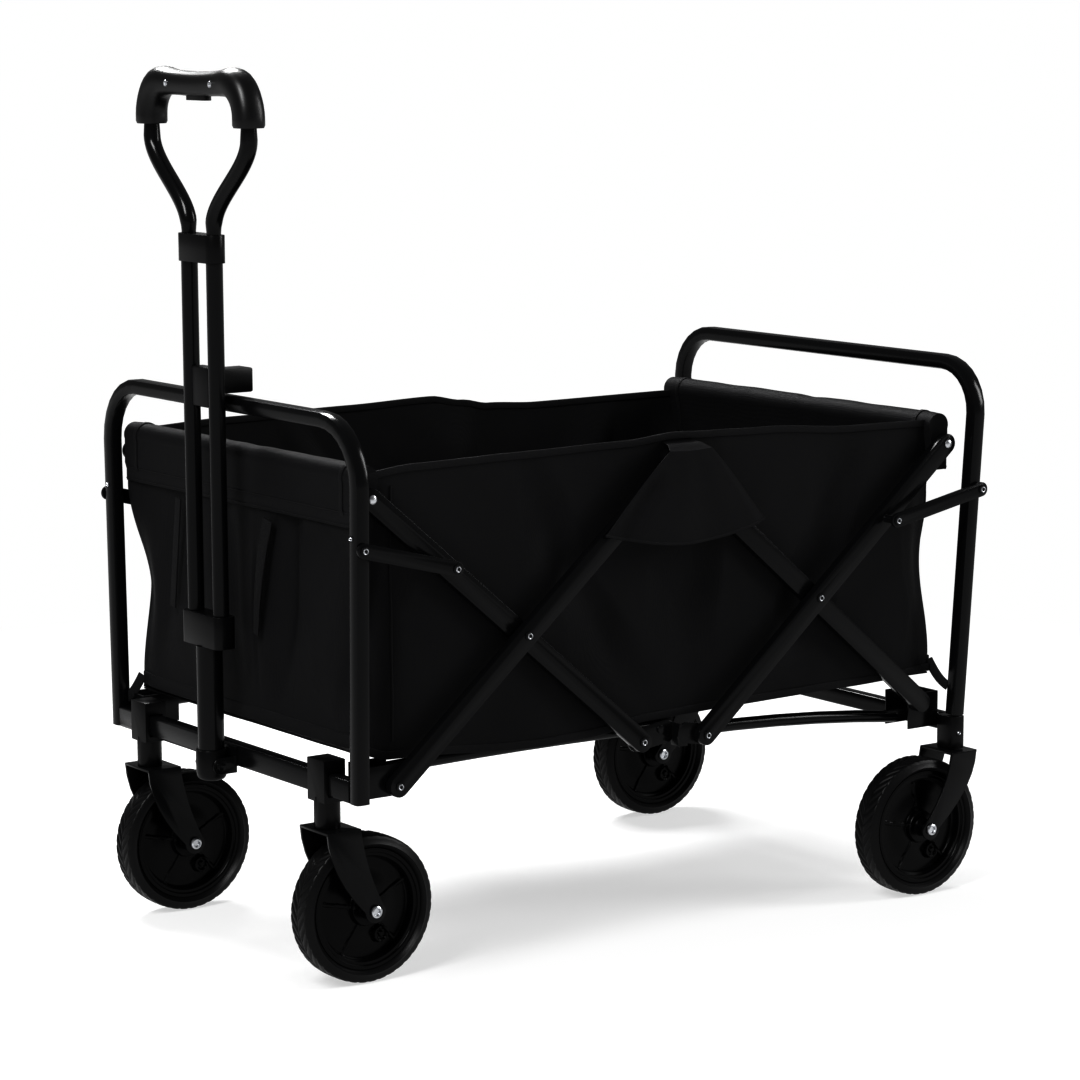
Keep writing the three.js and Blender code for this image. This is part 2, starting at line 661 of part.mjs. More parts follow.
function bail() {
  const arch = gripArch(BAIL_SHOULDER_Z);
  const route = [...bailLeg(-1), ...arch, ...bailLeg(1).reverse()];
  add('bail_tube', sweep(circleSection(BAIL_RADIUS, 12), route), 'frame');

  const shell = sweep(circleSection(GRIP_RADIUS, 16), gripArch(BAIL_SHOULDER_Z + 2));
  const bore = sweep(circleSection(BAIL_RADIUS + 2 * GAP, 12), gripArch(BAIL_SHOULDER_Z - 20));
  const pocket = block(
    [HANDLE_X - BUTTON.x / 2 - GAP, -BUTTON.y / 2 - GAP, BUTTON.low - 10],
    [HANDLE_X + BUTTON.x / 2 + GAP, BUTTON.y / 2 + GAP, GRIP_Z],
  );
  add('handle_grip', cut(shell, [bore, pocket]), 'grip');
  const section = roundedSection(BUTTON.x, BUTTON.y, 4);
  const button = new THREE.ExtrudeGeometry(section, { depth: BUTTON.high - BUTTON.low, bevelEnabled: false });
  add('release_button', button.translate(HANDLE_X, 0, BUTTON.low), 'grip');
}

// ---------- assembly ----------
hoop('front_hoop', FRONT_LEG_X, FRONT_LEG_X, FRONT_LEG_FOOT_Z, FRONT_TOP_Z,
  FRONT_HALF_FOOT, FRONT_HALF_TOP, FRONT_BEND);
hoop('rear_hoop', REAR_FOOT_X, REAR_TOP_X, REAR_LEG_FOOT_Z, REAR_TOP_Z,
  REAR_HALF_FOOT, REAR_HALF_TOP, REAR_BEND);
crossbar('front_crossbar', FRONT_LEG_X, FRONT_CROSSBAR, FRONT_HALF_FOOT - TUBE - GAP);
crossbar('rear_crossbar', REAR_FOOT_X, REAR_CROSSBAR, REAR_WHEEL_Y - POST_SIZE.y / 2 - GAP);
casters();
rearWheels();
scissors();
floorTubes();
rimBar('front_rim_bar', front.rim, INNER_PLANE - BAR_DEPTH / 2 - GAP);
rimBar('rear_rim_bar', rear.rim, OUTER_PLANE - BAR_DEPTH / 2 - GAP);
basket();
handle();
bail();

// The origin is the middle of the footprint, on the ground.
const bounds = new THREE.Box3().setFromObject(wagon);
wagon.position.x = -(bounds.min.x + bounds.max.x) / 2;

export default wagon;
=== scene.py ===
"""A black folding utility wagon with a pull handle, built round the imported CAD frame.

Design sizes are millimetres: x rearward from near mid length, y to the right side, z up from the floor.
"""

import json
import math

import bmesh
import bpy
from mathutils import Matrix, Vector, noise


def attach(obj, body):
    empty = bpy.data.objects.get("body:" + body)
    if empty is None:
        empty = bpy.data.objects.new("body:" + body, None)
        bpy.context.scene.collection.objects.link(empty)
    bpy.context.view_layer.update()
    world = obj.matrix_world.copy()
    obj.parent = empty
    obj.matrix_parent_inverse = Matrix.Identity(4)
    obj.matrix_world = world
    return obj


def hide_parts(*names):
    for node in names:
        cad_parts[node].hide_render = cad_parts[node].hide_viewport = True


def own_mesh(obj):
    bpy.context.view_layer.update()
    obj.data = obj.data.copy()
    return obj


ORIGIN_X = 13.15  # the row frame's origin lies this far forward of the design origin
SIDES = (("left", -1), ("right", 1))

# ---------- sizes ----------
RIM_X = (-433.0, 427.0)
RIM_BAR_Z = 605.0
APEX_X = -3.0
OUTER_BAR_FACE_Y = 298.1
INNER_BAR_FACE_Y = 285.1
FRONT_LINK_FACE_Y = 306.0
REAR_LINK_FACE_Y = 321.1
FLAP_TOP_Z = 616.0
BASKET_HALF = 268.0
BASKET_FRONT_X = -441.0
BASKET_REAR_X = 436.0
BASKET_FLOOR_Z = 281.0
END_HEM_Z = 288.0
BAND_Z = 548.0  # lower edge of the stitched band under each padded roll
CLOTH_THICKNESS = 1.2
HANDLE_X = -487.0
HANDLE_PIVOT_Z = 234.0
HANDLE_TUBE_Y = 29.5
BAIL_FOOT_Z = 530.0
BAIL_RADIUS = 8.6
BAIL_NECK_Z = 876.0
BAIL_SHOULDER_Z = 986.0
GRIP_HALF = 114.0
GRIP_BEND = 40.0
GRIP_Z = 1050.0
GRIP_HALF_THICKNESS = 16.2
WHEEL_RADIUS = 89.0
TYRE_HALF_WIDTH = 20.0
TREAD_BLOCKS = 40
RIM_RIBS = 5
RIM_BOSS = (20.0, -34.0)
WHEEL_CENTRES = {
    "front": (-409.0, 212.0),
    "rear": (390.0, 284.0),
}

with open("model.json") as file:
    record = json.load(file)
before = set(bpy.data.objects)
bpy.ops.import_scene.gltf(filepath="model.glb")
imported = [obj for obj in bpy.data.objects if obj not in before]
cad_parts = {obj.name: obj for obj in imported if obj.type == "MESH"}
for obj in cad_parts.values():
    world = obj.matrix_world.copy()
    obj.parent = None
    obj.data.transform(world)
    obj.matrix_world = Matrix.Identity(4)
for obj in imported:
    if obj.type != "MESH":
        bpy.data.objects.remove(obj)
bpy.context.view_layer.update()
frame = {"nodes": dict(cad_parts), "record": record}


def point(x, y, z):
    """A design point as metres in the row frame."""
    return Vector(((x + ORIGIN_X) / 1000, y / 1000, z / 1000))


# ---------- materials ----------
def material(name, color, roughness, metallic=0.0, grain=None, specular=0.5):
    """grain is (noise scale per metre, bump distance in metres, roughness spread)."""
    made = bpy.data.materials.new(name)
    made.use_nodes = True
    nodes = made.node_tree.nodes
    links = made.node_tree.links
    shader = nodes["Principled BSDF"]
    shader.inputs["Base Color"].default_value = (*color, 1)
    shader.inputs["Roughness"].default_value = roughness
    shader.inputs["Metallic"].default_value = metallic
    shader.inputs["Specular IOR Level"].default_value = specular
    if grain:
        scale, distance, spread = grain
        place = nodes.new("ShaderNodeTexCoord")
        texture = nodes.new("ShaderNodeTexNoise")
        texture.inputs["Scale"].default_value = scale
        texture.inputs["Detail"].default_value = 3
        links.new(place.outputs["Object"], texture.inputs["Vector"])
        bump = nodes.new("ShaderNodeBump")
        bump.inputs["Distance"].default_value = distance
        bump.inputs["Strength"].default_value = 0.6
        links.new(texture.outputs["Fac"], bump.inputs["Height"])
        links.new(bump.outputs["Normal"], shader.inputs["Normal"])
        ramp = nodes.new("ShaderNodeMapRange")
        ramp.inputs["To Min"].default_value = roughness - spread
        ramp.inputs["To Max"].default_value = roughness + spread
        links.new(texture.outputs["Fac"], ramp.inputs["Value"])
        links.new(ramp.outputs["Result"], shader.inputs["Roughness"])
    return made


def woven(name, color, roughness, thread, distance):
    """Plain-weave cloth: crossed thread waves with a slow mottling of the colour."""
    made = material(name, color, roughness, specular=0.09)
    nodes = made.node_tree.nodes
    links = made.node_tree.links
    shader = nodes["Principled BSDF"]
    place = nodes.new("ShaderNodeTexCoord")
    heights = []
    for direction in ("X", "Y", "Z"):
        wave = nodes.new("ShaderNodeTexWave")
        wave.bands_direction = direction
        wave.inputs["Scale"].default_value = 0.314 / thread
        wave.inputs["Distortion"].default_value = 0.4
        wave.inputs["Detail"].default_value = 1
        links.new(place.outputs["Object"], wave.inputs["Vector"])
        heights.append(wave.outputs["Fac"])
    total = heights[0]
    for height in heights[1:]:
        add = nodes.new("ShaderNodeMath")
        add.operation = "ADD"
        links.new(total, add.inputs[0])
        links.new(height, add.inputs[1])
        total = add.outputs["Value"]
    bump = nodes.new("ShaderNodeBump")
    bump.inputs["Distance"].default_value = distance
    bump.inputs["Strength"].default_value = 0.5
    links.new(total, bump.inputs["Height"])
    links.new(bump.outputs["Normal"], shader.inputs["Normal"])
    mottle = nodes.new("ShaderNodeTexNoise")
    mottle.inputs["Scale"].default_value = 9
    mottle.inputs["Detail"].default_value = 4
    links.new(place.outputs["Object"], mottle.inputs["Vector"])
    mix = nodes.new("ShaderNodeMix")
    mix.data_type = "RGBA"
    mix.inputs["A"].default_value = (*[c * 0.8 for c in color], 1)
    mix.inputs["B"].default_value = (*[c * 1.25 for c in color], 1)
    links.new(mottle.outputs["Fac"], mix.inputs["Factor"])
    links.new(mix.outputs["Result"], shader.inputs["Base Color"])
    return made


FINE_BUMP = 0.00004
COARSE_BUMP = 0.00008
STEEL = material(
    "powder coated steel", (0.0065, 0.0067, 0.0073), 0.2, grain=(900, FINE_BUMP, 0.04), specular=0.3
)
PLASTIC = material(
    "black plastic", (0.0055, 0.0055, 0.006), 0.3, grain=(1400, FINE_BUMP, 0.05), specular=0.26
)
RIM_PLASTIC = material(
    "rim plastic", (0.0034, 0.0034, 0.0038), 0.24, grain=(700, FINE_BUMP, 0.05), specular=0.2
)
TYRE = material("tyre rubber", (0.0085, 0.0085, 0.009), 0.4, grain=(600, COARSE_BUMP, 0.08), specular=0.28)
GRIP = material("grip plastic", (0.0065, 0.0065, 0.007), 0.36, grain=(2200, COARSE_BUMP, 0.05))
ZINC = material("zinc plated steel", (0.60, 0.61, 0.63), 0.3, metallic=1.0, grain=(500, 0.00003, 0.08))
CLOTH_MATERIAL = woven("polyester oxford", (0.0165, 0.0165, 0.0175), 0.5, 0.0011, 0.00018)
BINDING = woven("binding tape", (0.019, 0.019, 0.020), 0.5, 0.0016, 0.0003)
WEBBING = woven("nylon webbing", (0.022, 0.022, 0.023), 0.45, 0.0022, 0.0005)
THREAD = material("stitching", (0.016, 0.016, 0.017), 0.6, specular=0.3)

SLOT_MATERIALS = {
    "black steel": STEEL,
    "black plastic": PLASTIC,
    "wheel rim": RIM_PLASTIC,
    "tyre": TYRE,
    "bright bolt": ZINC,
    "grip": GRIP,
    "basket fabric": CLOTH_MATERIAL,
}
MATERIAL_SLOTS = {made.name: slot for slot, made in SLOT_MATERIALS.items()}
MATERIAL_SLOTS.update({made.name: "basket fabric" for made in (BINDING, WEBBING, THREAD)})


# ---------- mesh helpers ----------
def mesh_object(name, vertices, faces, made, crease_angle=40):
    mesh = bpy.data.meshes.new(name)
    mesh.from_pydata([tuple(v) for v in vertices], [], [tuple(f) for f in faces])
    mesh.validate()
    for polygon in mesh.polygons:
        polygon.use_smooth = True
    mesh.set_sharp_from_angle(angle=math.radians(crease_angle))
    mesh.materials.append(made)
    obj = bpy.data.objects.new(name, mesh)
    bpy.context.scene.collection.objects.link(obj)
    return obj


def bake(obj):
    """Applies the modifiers, so that the mesh is final."""
    graph = bpy.context.evaluated_depsgraph_get()
    baked = bpy.data.meshes.new_from_object(obj.evaluated_get(graph))
    obj.modifiers.clear()
    obj.data = baked
    return obj


def grid_faces(rows, columns, wrap_rows=False, wrap_columns=False):
    faces = []
    for row in range(rows if wrap_rows else rows - 1):
        for column in range(columns if wrap_columns else columns - 1):
            below = (row + 1) % rows
            beside = (column + 1) % columns
            faces.append((
                row * columns + column,
                row * columns + beside,
                below * columns + beside,
                below * columns + column,
            ))
    return faces


def grid(name, rows, columns, place, made, thickness):
    """A sheet from place(u, v), a design point, with u over the columns and v over the rows."""
    vertices = []
    for row in range(rows):
        for column in range(columns):
            vertices.append(point(*place(column / (columns - 1), row / (rows - 1))))
    obj = mesh_object(name, vertices, grid_faces(rows, columns), made, 60)
    solidify = obj.modifiers.new("thickness", "SOLIDIFY")
    solidify.thickness = thickness / 1000
    solidify.offset = 0
    return bake(obj)


def sweep(name, route, section, made, closed=False, up=Vector((0, 0, 1)), scales=None):
    """section is (across, up) offsets in millimetres, carried along route, a list of design points."""
    points = [point(*place) for place in route]
    count = len(points)
    vertices = []
    for index, here in enumerate(points):
        ahead = points[(index + 1) % count] if closed else points[min(index + 1, count - 1)]
        behind = points[index - 1] if closed else points[max(index - 1, 0)]
        along = (ahead - behind).normalized()
        across = along.cross(up).normalized()
        lift = across.cross(along).normalized()
        size = scales[index] / 1000 if scales else 0.001
        for a, b in section:
            vertices.append(here + across * (a * size) + lift * (b * size))
    sides = len(section)
    faces = grid_faces(count, sides, wrap_rows=closed, wrap_columns=True)
    if not closed:
        faces.append(tuple(range(sides)))
        faces.append(tuple(reversed(range((count - 1) * sides, count * sides))))
    obj = mesh_object(name, vertices, faces, made)
    recalculate(obj)
    return obj


def recalculate(obj):
    """Turns every face outwards."""
    work = bmesh.new()
    work.from_mesh(obj.data)
    bmesh.ops.recalc_face_normals(work, faces=work.faces)
    work.to_mesh(obj.data)
    work.free()


def lathe(name, profile, centre, direction, made, segments=32):
    """profile is (radius, height) pairs in millimetres along direction, starting and ending on the axis."""
    axis = Vector(direction).normalized()
    turn = axis.to_track_quat("Z", "Y").to_matrix()
    origin = point(*centre)
    vertices = []
    faces = []
    rings = []
    for radius, height in profile:
        if radius < 1e-6:
            rings.append([len(vertices)])
            vertices.append(origin + turn @ Vector((0, 0, height / 1000)))
            continue
        ring = []
        for step in range(segments):
            angle = 2 * math.pi * step / segments
            ring.append(len(vertices))
            local = Vector((radius * math.cos(angle), radius * math.sin(angle), height)) / 1000
            vertices.append(origin + turn @ local)
        rings.append(ring)
    for first, second in zip(rings, rings[1:]):
        for step in range(segments):
            after = (step + 1) % segments
            if len(first) == 1:
                faces.append((first[0], second[step], second[after]))
            elif len(second) == 1:
                faces.append((first[step], second[0], first[after]))
            else:
                faces.append((first[step], second[step], second[after], first[after]))
    obj = mesh_object(name, vertices, faces, made, 35)
    recalculate(obj)
    return obj


def interpolate(x, stations):
    """Smooth value at x from (x, value) stations in rising order."""
    if x <= stations[0][0]:
        return stations[0][1]
    for (x1, v1), (x2, v2) in zip(stations, stations[1:]):
        if x <= x2:
            t = (x - x1) / (x2 - x1)
            t = t * t * (3 - 2 * t)
            return v1 + (v2 - v1) * t
    return stations[-1][1]


def bell(distance, width):
    return math.exp(-((distance / width) ** 2))


def smooth_step(low, high, value):
    t = min(max((value - low) / (high - low), 0), 1)
    return t * t * (3 - 2 * t)


def rounded_square(half, power, steps=28):
    """A superellipse outline about the origin."""
    outline = []
    for step in range(steps):
        angle = 2 * math.pi * step / steps
        c, s = math.cos(angle), math.sin(angle)
        size = half / (abs(c) ** power + abs(s) ** power) ** (1 / power)
        outline.append((size * c, size * s))
    return outline


def rounded_box(width, height, radius, steps=3):
    """The outline of a rounded rectangle about the origin."""
    outline = []
    for sx, sy, start in ((1, 1, 0), (-1, 1, 90), (-1, -1, 180), (1, -1, 270)):
        for step in range(steps + 1):
            angle = math.radians(start + 90 * step / steps)
            outline.append((
                sx * (width / 2 - radius) + radius * math.cos(angle),
                sy * (height / 2 - radius) + radius * math.sin(angle),
            ))
    return outline


# ---------- CAD nodes kept in view ----------
EDGE_ANGLE = math.radians(32)


def polish(node, bevel):
    """Smooth shading and softened edges on a CAD node."""
    for polygon in node.data.polygons:
        polygon.use_smooth = True
    weld = node.modifiers.new("weld", "WELD")
    weld.merge_threshold = 2e-5
    if bevel:
        soften = node.modifiers.new("soften", "BEVEL")
        soften.width = bevel / 1000
        soften.segments = 2
        soften.limit_method = "ANGLE"
        soften.angle_limit = EDGE_ANGLE
    split = node.modifiers.new("split", "EDGE_SPLIT")
    split.split_angle = EDGE_ANGLE


BEVELS = {
    "saddle": 2.5,
    "crossbar": 1.0,
    "corner_bracket": 0.8,
    "hub_bracket": 0.7,
    "fork": 1.4,
    "joiner": 1.5,
    "collar": 1.5,
    "hook": 2.5,
    "post": 1.5,
    "bar_": 2.0,
    "link": 1.4,
    "handle_bracket": 0.6,
}
node_slots = {part["node"]: part["material_slot"] for part in frame["record"]["subparts"]}
for node_name, node in frame["nodes"].items():
    node.data.materials.clear()
    node.data.materials.append(SLOT_MATERIALS[node_slots[node_name]])
    widths = [width for word, width in BEVELS.items() if word in node_name]
    polish(node, widths[0] if widths else 0.0)


# ---------- wheels ----------
def tyre_radius(angle, across):
    """Tyre surface radius: slanted grooves run out from a centre line and stop short of the shoulders."""
    share = abs(across) / TYRE_HALF_WIDTH
    radius = WHEEL_RADIUS - 1.2 * share**2 - 9.5 * smooth_step(0.72, 1.0, share) ** 1.5
    pitch = 2 * math.pi / TREAD_BLOCKS
    phase = ((angle + 0.30 * share) / pitch) % 1.0
    groove = smooth_step(0.0, 0.18, phase) - smooth_step(0.30, 0.5, phase)
    reach = smooth_step(0.03, 0.10, share) - smooth_step(0.66, 0.84, share)
    return radius - 1.5 * groove * reach - 0.7 * bell(share, 0.05)


def tyre_mesh():
    """A tyre about the Y axis through the origin."""
    around = 360
    across_steps = 34
    vertices = []
    inner = [(77.0, 18.4), (73.4, 14.6), (73.4, 0.0), (73.4, -14.6), (77.0, -18.4)]
    for step in range(around):
        angle = 2 * math.pi * step / around
        ring = []
        for index in range(across_steps + 1):
            across = -TYRE_HALF_WIDTH + 2 * TYRE_HALF_WIDTH * index / across_steps
            ring.append((tyre_radius(angle, across), across))
        ring += inner
        for radius, across in ring:
            vertices.append(Vector((radius * math.cos(angle), across, radius * math.sin(angle))) / 1000)
    return vertices, grid_faces(around, len(ring), wrap_rows=True, wrap_columns=True)


def rim_depth(angle, radius):
    """Half thickness of the rim at a place on its face.

    From the middle out: hub, drum, a deep dish with thin ribs and one moulded boss, wall and stepped lip.
    """
    if radius > 71:
        return 15.0
    rib_phase = (angle / (2 * math.pi) * RIM_RIBS + 0.15) % 1.0
    from_rib = abs(rib_phase - 0.5) * 2 * math.pi / RIM_RIBS * radius
    rib = 1 - smooth_step(1.6, 2.6, from_rib)
    cone = 4.0 * (1 - smooth_step(22.0, 50.0, radius))
    dish = 2.5 + cone
    face = dish + rib * 2.6 * smooth_step(66.0, 60.0, radius)
    from_boss = math.hypot(radius * math.cos(angle) - RIM_BOSS[0], radius * math.sin(angle) - RIM_BOSS[1])
    boss = 1 - smooth_step(10.0, 11.0, from_boss)
    boss_hollow = smooth_step(3.0, 3.8, from_boss) * (1 - smooth_step(6.2, 7.2, from_boss))
    face += boss * (11.5 - dish) - 3.0 * boss_hollow
    wall = smooth_step(60.5, 64.0, radius)
    face += (13.2 - face) * wall
    face += (15.6 - face) * smooth_step(67.4, 68.6, radius)
    drum = 1 - smooth_step(20.0, 22.0, radius)
    face += (13.5 - face) * drum
    hub = 1 - smooth_step(10.5, 12.0, radius)
    return face + (21.0 - face) * hub


def rim_mesh():
    """A rim about the Y axis through the origin, both faces alike."""
    around = 300
    radii = [5.6, 9.0, 10.4, 11.0, 11.6, 12.2, 16.0, 19.8, 20.4, 21.0, 21.6, 22.2]
    radii += [23.4 + 1.4 * step for step in range(27)]
    radii += [61.3, 62.2, 63.1, 64.0, 65.6, 67.2, 67.8, 68.4, 69.0, 71.2, 72.6]
    vertices = []
    for step in range(around):
        angle = 2 * math.pi * step / around - math.pi
        ring = [(radius, rim_depth(angle, radius)) for radius in radii]
        ring += [(73.0, 14.0), (73.0, -14.0)]
        ring += [(radius, -rim_depth(angle, radius)) for radius in reversed(radii)]
        for radius, across in ring:
            vertices.append(Vector((radius * math.cos(angle), across, radius * math.sin(angle))) / 1000)
    return vertices, grid_faces(around, 2 * len(radii) + 2, wrap_rows=True, wrap_columns=True)


def wheels():
    tyre_source = mesh_object("tyre_source", *tyre_mesh(), TYRE, 50)
    rim_source = mesh_object("rim_source", *rim_mesh(), RIM_PLASTIC, 38)
    for source in (tyre_source, rim_source):
        recalculate(source)
    for end, (x, half_track) in WHEEL_CENTRES.items():
        for side, sign in SIDES:
            for kind, source in (("tyre", tyre_source), ("rim", rim_source)):
                obj = source.copy()
                obj.name = f"{end}_{kind}_{side}_detail"
                bpy.context.scene.collection.objects.link(obj)
                obj.location = point(x, sign * half_track, WHEEL_RADIUS)
                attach(obj, f"{end}_wheel_{side}")
                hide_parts(f"{end}_{kind}_{side}")
    bpy.data.objects.remove(tyre_source)
    bpy.data.objects.remove(rim_source)


wheels()


def node_box(name):
    """Lowest and highest corner of a CAD node, in metres."""
    node = frame["nodes"][name]
    corners = [node.matrix_world @ vertex.co for vertex in node.data.vertices]
    low = Vector([min(corner[axis] for corner in corners) for axis in range(3)])
    high = Vector([max(corner[axis] for corner in corners) for axis in range(3)])
    return low, high


def body_of(node_name):
    bodies = frame["record"]["behaviour"]["bodies"]
    return next(body for body, names in bodies.items() if node_name in names)


def axles():
    """Each wheel's axle, a hollow rivet with a rolled head at both ends."""
    for end in WHEEL_CENTRES:
        for side, _ in SIDES:
            node_name = f"{end}_axle_{side}"
            low, high = node_box(node_name)
            middle = (low + high) * 500
            half = (high.y - low.y) * 500
            head = [
                (0, half - 2.4), (3.4, half - 2.4), (4.4, half - 0.2),
                (5.6, half), (7.2, half - 1.0), (7.6, half - 3),
            ]
            profile = [(radius, -height) for radius, height in head] + [(4.8, 3 - half), (4.8, half - 3)]
            profile += list(reversed(head))
            centre = (middle.x - ORIGIN_X, middle.y, middle.z)
            axle = lathe(f"{node_name}_detail", profile, centre, (0, 1, 0), ZINC)
            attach(axle, body_of(node_name))
            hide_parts(node_name)


axles()


# ---------- pull handle ----------
def cut_pocket(grip, node_name, clearance):
    """Takes the room of a CAD node out of the grip's lower side. clearance is in metres."""
    low, high = node_box(node_name)
    margin = Vector((clearance, clearance, clearance))
    low, high = low - margin, high + margin
    high.z = (GRIP_Z - 4) / 1000
    corners = [(x, y, z) for x in (low.x, high.x) for y in (low.y, high.y) for z in (low.z - 0.01, high.z)]
    faces = [(0, 1, 3, 2), (4, 6, 7, 5), (0, 4, 5, 1), (2, 3, 7, 6), (0, 2, 6, 4), (1, 5, 7, 3)]
    cutter = mesh_object("grip_pocket", corners, faces, GRIP)
    pocket = grip.modifiers.new("pocket", "BOOLEAN")
    pocket.object = cutter
    bake(grip)
    bpy.data.objects.remove(cutter)


def handle_grip():
    """A moulded grip with full shoulders, a waisted middle and two screws on its front."""
    straight = GRIP_HALF - GRIP_BEND
    bend_z = GRIP_Z - GRIP_BEND
    route = [(HANDLE_X, -GRIP_HALF, bend_z - 10), (HANDLE_X, -GRIP_HALF, bend_z - 7)]
    for angle in range(180, 89, -9):
        turn = math.radians(angle)
        route.append((HANDLE_X, -straight + GRIP_BEND * math.cos(turn), bend_z + GRIP_BEND * math.sin(turn)))
    for step in range(1, 14):
        route.append((HANDLE_X, -straight + 2 * straight * step / 14, GRIP_Z))
    for angle in range(90, -1, -9):
        turn = math.radians(angle)
        route.append((HANDLE_X, straight + GRIP_BEND * math.cos(turn), bend_z + GRIP_BEND * math.sin(turn)))
    route += [(HANDLE_X, GRIP_HALF, bend_z - 7), (HANDLE_X, GRIP_HALF, bend_z - 10)]
    shaped = []
    scales = []
    for x, y, z in route:
        shoulder = bell(abs(y) - 92, 26)
        top = smooth_step(bend_z, GRIP_Z, z)
        shaped.append((x, y, z + (2.0 * shoulder - 1.5 * bell(y, 40)) * top))
        scales.append(0.90 + 0.22 * shoulder + 0.10 * (1 - top))
    scales[0] *= 0.93
    scales[-1] *= 0.93
    section = rounded_square(GRIP_HALF_THICKNESS, 2.5)
    grip = sweep("handle_grip_detail", shaped, section, GRIP, up=Vector((1, 0, 0)), scales=scales)
    cut_pocket(grip, "release_button", 0.0004)
    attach(grip, "bail")
    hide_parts("handle_grip")
    for side, sign in SIDES:
        head = [(0, 0.2), (1.4, 0.2), (1.8, 1.0), (3.6, 0.8), (4.0, 0), (4.0, -1.5), (0, -1.5)]
        centre = (HANDLE_X - 15.2, sign * 52, GRIP_Z - 1)
        screw = lathe(f"grip_screw_{side}", head, centre, (-1, 0, 0), ZINC, 20)
        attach(screw, "bail")


def bail_tube():
    """The sliding tube: slim inside the handle tubes, full from the neck up to the grip."""
    left_leg = [(HANDLE_X, -HANDLE_TUBE_Y, BAIL_FOOT_Z), (HANDLE_X, -HANDLE_TUBE_Y, BAIL_NECK_Z)]
    for step in range(25):
        share = step / 24
        y = HANDLE_TUBE_Y + (GRIP_HALF - HANDLE_TUBE_Y) * smooth_step(0, 1, share)
        left_leg.append((HANDLE_X, -y, BAIL_NECK_Z + 6 + (BAIL_SHOULDER_Z - BAIL_NECK_Z - 6) * share))
    left_leg.append((HANDLE_X, -GRIP_HALF, GRIP_Z - GRIP_BEND))
    right_leg = [(x, -y, z) for x, y, z in reversed(left_leg)]
    straight = GRIP_HALF - GRIP_BEND
    bends = []
    for sign, angles in ((-1, range(171, 89, -9)), (1, range(90, 8, -9))):
        for angle in angles:
            turn = math.radians(angle)
            bends.append((HANDLE_X, sign * straight + GRIP_BEND * math.cos(turn),
                          GRIP_Z - GRIP_BEND + GRIP_BEND * math.sin(turn)))
    route = left_leg + bends + right_leg
    scales = []
    for _, _, z in route:
        above_neck = smooth_step(BAIL_NECK_Z, BAIL_NECK_Z + 14, z)
        inside_grip = smooth_step(1002, 1010, z)
        scales.append(1 + 0.17 * above_neck - 0.17 * inside_grip)
    section = rounded_square(BAIL_RADIUS, 2.0, 32)
    tube = sweep("bail_tube_detail", route, section, STEEL, up=Vector((1, 0, 0)), scales=scales)
    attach(tube, "bail")
    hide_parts("bail_tube")


def handle_foot():
    """The round end cap of the handle, on its pivot."""
    profile = [
        (0, -19.4), (12, -19.2), (15.6, -17.6), (17.8, -14.4), (18.6, -9),
        (18.7, 17.4), (18.2, 18.4), (17.2, 18.8), (0, 18.8),
    ]
    foot = lathe("handle_foot_detail", profile, (HANDLE_X, 0, HANDLE_PIVOT_Z), (0, 0, 1), PLASTIC, 40)
    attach(foot, "handle")
    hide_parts("handle_foot")


handle_grip()
bail_tube()
handle_foot()


# ---------- rivets ----------
def rivet(name, centre, direction, body, radius=3.9, domed=False):
    """A dark flange with a bright rolled ring round a hollow, or one bright dome."""
    if domed:
        dome = [
            (0, 2.4), (radius * 0.5, 2.1), (radius * 0.85, 1.1),
            (radius, 0.2), (radius, -0.8), (0, -0.8),
        ]
        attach(lathe(name, dome, centre, direction, ZINC, 24), body)
        return
    flange = [
        (0, 0.8), (radius * 0.45, 0.8), (radius * 0.45, 0.5), (radius * 1.4, 0.5),
        (radius * 1.5, 0.1), (radius * 1.5, -0.8), (0, -0.8),
    ]
    ring = [
        (0, 0.4), (radius * 0.5, 0.4), (radius * 0.58, 1.5), (radius * 0.76, 2.0),
        (radius * 0.94, 1.4), (radius, 0.4), (radius, -0.5), (0, -0.5),
    ]
    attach(lathe(f"{name}_flange", flange, centre, direction, STEEL, 24), body)
    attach(lathe(name, ring, centre, direction, ZINC, 24), body)


LINKAGE = {
    "foot": (-408.0, 248.0),
    "cross": (-225.0, 405.0),
    "rim": (-433.0, 583.0),
    "hub": (-47.0, 252.7),
    "link": (-331.0, 495.7),
}


